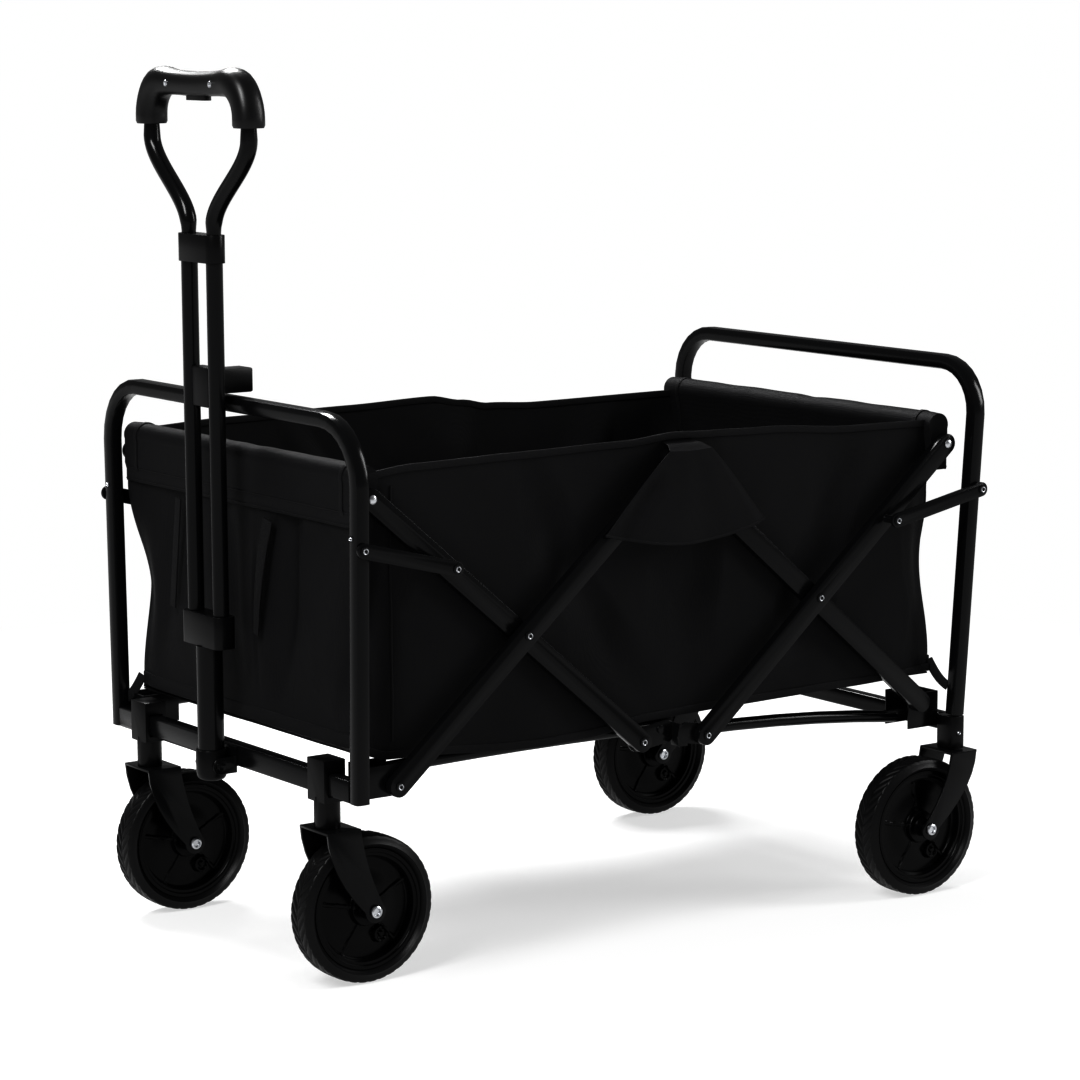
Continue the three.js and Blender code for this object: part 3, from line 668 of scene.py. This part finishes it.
def rivets():
    """The pivots of the linkage on both sides, and three small fixings of the legs and posts."""
    top_radius = 5.6
    fixing_radius = 2.8
    rear = {key: (2 * APEX_X - x, z) for key, (x, z) in LINKAGE.items()}
    pivots = [
        ("front_foot", LINKAGE["foot"], OUTER_BAR_FACE_Y, "front_long_bars"),
        ("front_cross", LINKAGE["cross"], OUTER_BAR_FACE_Y, "front_long_bars"),
        ("front_top", LINKAGE["rim"], INNER_BAR_FACE_Y, "front_short_bars"),
        ("front_hub", LINKAGE["hub"], INNER_BAR_FACE_Y, "front_short_bars"),
        ("front_link_bar", LINKAGE["link"], FRONT_LINK_FACE_Y, "front_links"),
        ("front_link_leg", (-457.0, 528.2), FRONT_LINK_FACE_Y, "front_links"),
        ("rear_cross", rear["cross"], OUTER_BAR_FACE_Y, "rear_short_bars"),
        ("rear_top", rear["rim"], OUTER_BAR_FACE_Y, "rear_short_bars"),
        ("rear_hub", rear["hub"], OUTER_BAR_FACE_Y, "rear_short_bars"),
        ("rear_link_bar", rear["link"], REAR_LINK_FACE_Y, "rear_links"),
        ("rear_link_leg", (466.0, 523.7), REAR_LINK_FACE_Y, "rear_links"),
    ]
    for side, sign in SIDES:
        out = (0, sign, 0)
        for name, (x, z), y, body in pivots:
            if name.endswith("top"):
                rivet(f"rivet_{name}_{side}", (x, sign * y, z), out, body, top_radius, domed=True)
            else:
                rivet(f"rivet_{name}_{side}", (x, sign * y, z), out, body)
        rivet(f"rivet_front_leg_{side}", (-464.6, sign * 288, 541), (-1, 0, 0), "front_frame", fixing_radius)
        rivet(f"rivet_rear_leg_{side}", (466, sign * 312.5, 620), out, "rear_frame", fixing_radius)
        rivet(f"rivet_rear_post_{side}", (449, sign * 300.0, 205), out, "rear_frame", fixing_radius)


rivets()


# ---------- basket cloth ----------
TOP_HEM = {
    -1: [
        (-446, 611), (-365, 617), (-226, 619), (-61, 621), (10, 626),
        (60, 624), (150, 622), (298, 613), (440, 611),
    ],
    1: [
        (-446, 611), (-300, 616), (-116, 618), (14, 621), (64, 613),
        (106, 606), (184, 602), (422, 603), (440, 604),
    ],
}
BOTTOM_HEM = [
    (-446, 284), (-407, 275), (-180, 263), (-121, 265),
    (-20, 275), (92, 278), (286, 280), (440, 284),
]
FOLD_DEPTH = 2.6  # how strongly the side cloth's folds show


def side_folds(x, z, sign):
    """How far the side cloth stands out from its plane."""
    height = (z - 270) / 350
    slack = math.sin(math.pi * min(max(height, 0), 1))
    depth = 0.0
    depth += 5.0 * bell(x + 290 - 0.25 * (z - 450), 75) * slack
    depth -= 7.0 * bell(x + 150 + 0.55 * (z - 500), 34) * slack
    depth += 4.5 * bell(x + 75 + 0.35 * (z - 400), 42) * slack
    depth -= 5.5 * bell(x - 30 - 0.15 * (z - 400), 40) * slack
    depth += 4.5 * bell(x - 130 + 0.2 * (z - 450), 50) * slack
    depth -= 5.0 * bell(x - 245 - 0.5 * (z - 450), 38) * slack
    depth += 4.0 * bell(x - 340 + 0.15 * (z - 420), 40) * slack
    place = Vector((x / 120, z / 190, 3.1 * sign))
    depth += 3.2 * noise.noise(place) * slack
    place = Vector((x / 45, z / 70, 8.3 * sign))
    depth += 1.1 * noise.noise(place) * slack
    return depth


def corner_inset(z, outward):
    """The corners draw inwards below the rim, where only the cloth's own tension holds them."""
    if outward < 0:
        return interpolate(z, [(262, 8), (300, 10), (415, 20), (540, -6), (575, -3)])
    return interpolate(z, [(262, 4), (300, 8), (430, 19), (520, 12), (575, 2)])


def side_panel(side, sign):
    front = BASKET_FRONT_X
    rear = BASKET_REAR_X

    def place(u, v):
        x = front + (rear - front) * u
        top = interpolate(x, TOP_HEM[sign])
        bottom = interpolate(x, BOTTOM_HEM)
        z = top + (bottom - top) * v
        inset = corner_inset(z, -1 if u < 0.5 else 1)
        end = max(bell(x - front, 30), bell(rear - x, 30))
        plane = BASKET_HALF + 3.0 * math.sin(math.pi * u) * (1 - v) - 3.0 * v
        recess = 10.0 * bell(x - front - 20, 9) * math.sin(math.pi * min(v * 1.1, 1))
        y = plane + min(FOLD_DEPTH * side_folds(x, z, sign), 3.0 * v) - recess - inset * end
        x += inset * 0.6 * (bell(x - front, 30) - bell(rear - x, 30))
        return x, sign * y, z

    panel = grid(f"basket_side_{side}", 70, 190, place, CLOTH_MATERIAL, CLOTH_THICKNESS)
    pieces = [panel]
    for name, row, width in (("top", 0.0, 9.0), ("bottom", 1.0, 10.0)):
        route = [place(step / 95, row) for step in range(96)]
        lift = -width / 2 + 1.0 if name == "top" else width / 2 - 1.0
        section = [(a, b + lift) for a, b in rounded_box(4.2, width, 1.2)]
        pieces.append(sweep(f"basket_{name}_hem_{side}", route, section, BINDING))
    seam = [place(0.048, 0.06 + 0.88 * step / 50) for step in range(51)]
    seam = [(x, y + sign * 1.0, z) for x, y, z in seam]
    section = rounded_box(3.0, 3.0, 1.2, 2)
    pieces.append(sweep(f"basket_front_seam_{side}", seam, section, BINDING, up=Vector((0, 1, 0))))
    return pieces


def end_panel(name, x, outward):
    """The front or rear wall. outward is -1 at the front and 1 at the rear."""

    def place(u, v):
        z = 600 + (END_HEM_Z - 600) * v
        inset = corner_inset(z, outward)
        y = (2 * u - 1) * (BASKET_HALF - 3.0 - inset)
        slack = math.sin(math.pi * min(v * 1.05, 1))
        belly = 3.0 * slack * math.cos(math.pi * (u - 0.5))
        crease = -15.0 * bell(y + 108 + 0.14 * (z - 450), 22) * slack
        crease += 5.0 * bell(y + 190 - 0.2 * (z - 400), 34) * slack
        crease -= 9.0 * bell(y + 236 + 0.35 * (z - 360), 14) * slack
        crease -= 8.0 * bell(y - 178 + 0.3 * (z - 430), 24) * slack
        crease += 4.0 * bell(y - 90, 30) * slack
        crease -= 2.0 * bell(y + 40, 2.5) * slack
        crease -= 6.0 * bell(y - 12 - 0.1 * (z - 400), 16) * slack
        crease += 4.0 * noise.noise(Vector((y / 60, z / 90, 5.0 * outward))) * slack
        bend = inset * 0.6 * max(bell(1 - u, 0.05), bell(u, 0.05))
        return x + outward * (belly + min(crease, 2.0) - bend), y, z

    panel = grid(f"basket_{name}_panel", 60, 110, place, CLOTH_MATERIAL, CLOTH_THICKNESS)
    route = [place(step / 40, 1.0) for step in range(41)]
    section = [(a, b + 7) for a, b in rounded_box(3.6, 17, 1.2)]
    hem = sweep(f"basket_{name}_hem", route, section, BINDING)
    return [panel, hem]


def rim_roll(name, x, outward, body, half):
    """The padded sleeve round a rim bar, with its stitched band below."""
    outline = []
    for step in range(15):
        angle = math.radians(-20 + 220 * step / 14)
        outline.append((16.5 * math.cos(angle) * outward, 16.0 * math.sin(angle)))
    outline += [(-11 * outward, BAND_Z + 26 - RIM_BAR_Z), (-8.5 * outward, BAND_Z - RIM_BAR_Z)]
    outline += [(9.5 * outward, BAND_Z - RIM_BAR_Z), (16 * outward, BAND_Z + 22 - RIM_BAR_Z)]
    columns = 90
    vertices = []
    for column in range(columns):
        y = (2 * column / (columns - 1) - 1) * half
        puff = 1 + 0.08 * noise.noise(Vector((y / 60, 2.0 * outward, 0)))
        puff -= 0.07 * bell(abs(y) - half, 12) + 0.12 * bell(y + 28, 20)
        for a, b in outline:
            vertices.append(point(x + a * puff, y, RIM_BAR_Z + (b * puff if b > 0 else b)))
    sides = len(outline)
    faces = grid_faces(columns, sides, wrap_columns=True)
    faces.append(tuple(range(sides)))
    faces.append(tuple(reversed(range((columns - 1) * sides, columns * sides))))
    roll = mesh_object(f"basket_{name}_roll", vertices, faces, CLOTH_MATERIAL, 60)
    recalculate(roll)
    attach(roll, body)
    stations = range(1 - half, half, 6)
    tape = [(x + outward * 13.0, y, BAND_Z + 10) for y in stations]
    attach(sweep(f"basket_{name}_tape", tape, rounded_box(3.2, 21, 1.2), BINDING), body)
    for index, z in enumerate((BAND_Z + 3, BAND_Z + 17)):
        seam = [(x + outward * 14.8, y, z) for y in stations]
        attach(sweep(f"basket_{name}_seam_{index}", seam, rounded_box(1.2, 1.2, 0.5, 2), THREAD), body)
    for sign in (-1, 1):
        ring = [(x + a * 1.03, sign * (half - 30), RIM_BAR_Z + b * 1.03) for a, b in outline]
        section = rounded_box(1.6, 7, 0.6, 2)
        band = sweep(f"basket_{name}_band_{sign}", ring, section, BINDING, closed=True, up=Vector((0, 1, 0)))
        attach(band, body)


def floor_panel():
    """The basket's floor, a sheet with a slight unevenness."""

    def place(u, v):
        x = BASKET_FRONT_X + 6 + (BASKET_REAR_X - BASKET_FRONT_X - 12) * u
        y = (2 * v - 1) * (BASKET_HALF - 9)
        return x, y, BASKET_FLOOR_Z + 1.0 * noise.noise(Vector((x / 90, y / 90, 1)))

    panel = grid("basket_floor", 40, 80, place, CLOTH_MATERIAL, 2.0)
    return panel


def apex_flap(side, sign):
    """The cone of cloth sewn under the top hem that covers the apex of the long bars."""

    def place(u, v):
        spread = v**0.9
        left = -10 + (-118 + 10) * spread
        right = 34 + (128 - 34) * spread
        x = left + (right - left) * u
        arc = math.sin(math.pi * u)
        bottom = 513 - 19 * arc
        z = FLAP_TOP_Z + (bottom - FLAP_TOP_Z) * v
        out = interpolate(v, [(0, 271), (0.03, 290), (0.08, 301.5), (1, 303.5)])
        out += (3.5 * arc + 1.6 * math.sin(5 * math.pi * u + 1) * arc) * v
        gusset = 9.0 * bell(u - 0.13, 0.07) * (0.25 + 0.75 * v)
        edge = smooth_step(0.05, 0.0, u) * 0.4 + smooth_step(0.93, 1.0, u)
        return x, sign * (out - 4.0 * edge * v - gusset * smooth_step(0.25, 0.5, v)), z

    flap = grid(f"apex_flap_{side}", 40, 60, place, CLOTH_MATERIAL, CLOTH_THICKNESS)
    route = [place(step / 40, 0.985) for step in range(41)]
    hem = sweep(f"apex_flap_hem_{side}", route, rounded_box(2.4, 4, 0.9), BINDING)
    return [flap, hem]


# name, upper end (y, z), lower end (y, z), share of the full width at both ends, sag
FRONT_STRAPS = [
    ("left", (-82, 538), (-50, 396), (1.15, 0.6), 4.0),
    ("right", (132, 540), (151, 402), (0.7, 0.7), 0.0),
]


def front_straps():
    """Two tapes on the front wall, under the stitched band of the roll."""
    pieces = []
    for name, start, end, widths, sag in FRONT_STRAPS:
        route = []
        scales = []
        for step in range(25):
            t = step / 24
            y = start[0] + (end[0] - start[0]) * t
            z = start[1] + (end[1] - start[1]) * t
            stand = 10.0 + sag * math.sin(math.pi * t)
            route.append((BASKET_FRONT_X - stand, y, z))
            scales.append(widths[0] + (widths[1] - widths[0]) * t)
        section = rounded_box(18, 3.0, 1.2)
        strap = sweep(f"front_strap_{name}", route, section, WEBBING, up=Vector((1, 0, 0)), scales=scales)
        pieces.append(strap)
    return pieces


def corner_loops():
    """Webbing that ties the basket's lower corners towards the feet of the legs."""
    loops = {"front": [], "rear": []}
    for side, sign in SIDES:
        for name, x, reach in (("front", BASKET_FRONT_X, -1), ("rear", BASKET_REAR_X, 1)):
            route = []
            for step in range(13):
                t = step / 12
                sag = 5 * math.sin(math.pi * t)
                route.append((x + reach * (14 * t - 3), sign * (257 + 24 * t), 298 - 34 * t - sag))
            tie = sweep(f"corner_loop_{name}_{side}", route, rounded_box(2.0, 12, 0.8, 2), WEBBING)
            loops[name].append(tie)
    return loops


def basket():
    """The walls at the ends ride their rims, and the cloth between them rides the front rim."""
    loops = corner_loops()
    for piece in [*end_panel("front", BASKET_FRONT_X, -1), *front_straps(), *loops["front"]]:
        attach(piece, "front_rim")
    for piece in [*end_panel("rear", BASKET_REAR_X, 1), *loops["rear"]]:
        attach(piece, "rear_rim")
    between = [floor_panel()]
    for side, sign in SIDES:
        between += side_panel(side, sign)
    for piece in between:
        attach(piece, "front_rim")
        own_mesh(piece)
    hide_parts("basket")
    for side, sign in SIDES:
        for piece in apex_flap(side, sign):
            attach(piece, "front_rim")
            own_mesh(piece)
    rim_roll("front", RIM_X[0], -1, "front_rim", 272)
    rim_roll("rear", RIM_X[1], 1, "rear_rim", 279)


basket()


# ---------- stage ----------
def stage():
    """A white floor that takes the shadow near the wagon and fades to plain white further out."""
    floor = bpy.data.meshes.new("floor")
    size = 30
    corners = [(-size, -size, 0), (size, -size, 0), (size, size, 0), (-size, size, 0)]
    floor.from_pydata(corners, [], [(0, 1, 2, 3)])
    made = bpy.data.materials.new("white floor")
    made.use_nodes = True
    shader = made.node_tree.nodes["Principled BSDF"]
    shader.inputs["Base Color"].default_value = (0.93, 0.93, 0.93, 1)
    shader.inputs["Roughness"].default_value = 0.75
    shader.inputs["Specular IOR Level"].default_value = 0.2
    nodes = made.node_tree.nodes
    links = made.node_tree.links
    place = nodes.new("ShaderNodeTexCoord")
    distance = nodes.new("ShaderNodeVectorMath")
    distance.operation = "LENGTH"
    links.new(place.outputs["Object"], distance.inputs[0])
    fade = nodes.new("ShaderNodeMapRange")
    fade.inputs["From Min"].default_value = 0.9
    fade.inputs["From Max"].default_value = 2.2
    fade.inputs["To Min"].default_value = 0.68
    links.new(distance.outputs["Value"], fade.inputs["Value"])
    glow = nodes.new("ShaderNodeEmission")
    mix = nodes.new("ShaderNodeMixShader")
    links.new(fade.outputs["Result"], mix.inputs[0])
    links.new(shader.outputs["BSDF"], mix.inputs[1])
    links.new(glow.outputs["Emission"], mix.inputs[2])
    links.new(mix.outputs["Shader"], nodes["Material Output"].inputs["Surface"])
    floor.materials.append(made)
    obj = bpy.data.objects.new("floor", floor)
    bpy.context.scene.collection.objects.link(obj)
    obj.location.z = -0.0006


def area_light(name, place, target, size, power):
    light = bpy.data.lights.new(name, "AREA")
    light.shape = "RECTANGLE"
    light.size, light.size_y = size
    light.energy = power
    obj = bpy.data.objects.new(name, light)
    bpy.context.scene.collection.objects.link(obj)
    obj.location = place
    obj.rotation_euler = (Vector(target) - Vector(place)).to_track_quat("-Z", "Y").to_euler()


stage()
area_light("key", (-3.6, -1.6, 4.2), (0, 0, 0.4), (1.4, 2.6), 300)
area_light("side", (3.7, -2.5, 2.4), (0, 0, 0.4), (1.2, 2.6), 130)
area_light("back", (0.2, 2.8, 3.8), (0, 0, 0.3), (2.6, 1.4), 300)


def studio_world():
    """White where the camera looks, and dim in what the object reflects."""
    world = bpy.data.worlds.new("white studio")
    bpy.context.scene.world = world
    world.use_nodes = True
    nodes = world.node_tree.nodes
    links = world.node_tree.links
    rays = nodes.new("ShaderNodeLightPath")
    strength = nodes.new("ShaderNodeMapRange")
    strength.inputs["To Min"].default_value = 0.3
    strength.inputs["To Max"].default_value = 1.0
    links.new(rays.outputs["Is Camera Ray"], strength.inputs["Value"])
    nodes["Background"].inputs["Color"].default_value = (1, 1, 1, 1)
    links.new(strength.outputs["Result"], nodes["Background"].inputs["Strength"])


studio_world()

# ---------- camera ----------
CAMERA_PLACE = (-2573.5, -3646.0, 1144.06)
CAMERA_TARGET = (0.36, 0, 462.19)
CAMERA_ROLL = -0.288  # degrees
CAMERA_LENS = 117.85


def aim_camera():
    camera_data = bpy.data.cameras.new("camera")
    camera_data.lens = CAMERA_LENS
    camera_data.sensor_width = 36
    camera = bpy.data.objects.new("camera", camera_data)
    bpy.context.scene.collection.objects.link(camera)
    camera.location = point(*CAMERA_PLACE)
    aim = (point(*CAMERA_TARGET) - camera.location).to_track_quat("-Z", "Y")
    roll = Matrix.Rotation(math.radians(CAMERA_ROLL), 4, "Z")
    camera.rotation_euler = (aim.to_matrix().to_4x4() @ roll).to_euler()
    bpy.context.scene.camera = camera


aim_camera()
bpy.context.scene.view_settings.view_transform = "Standard"
bpy.context.scene.view_settings.look = "None"
bpy.context.scene.view_settings.gamma = 0.6
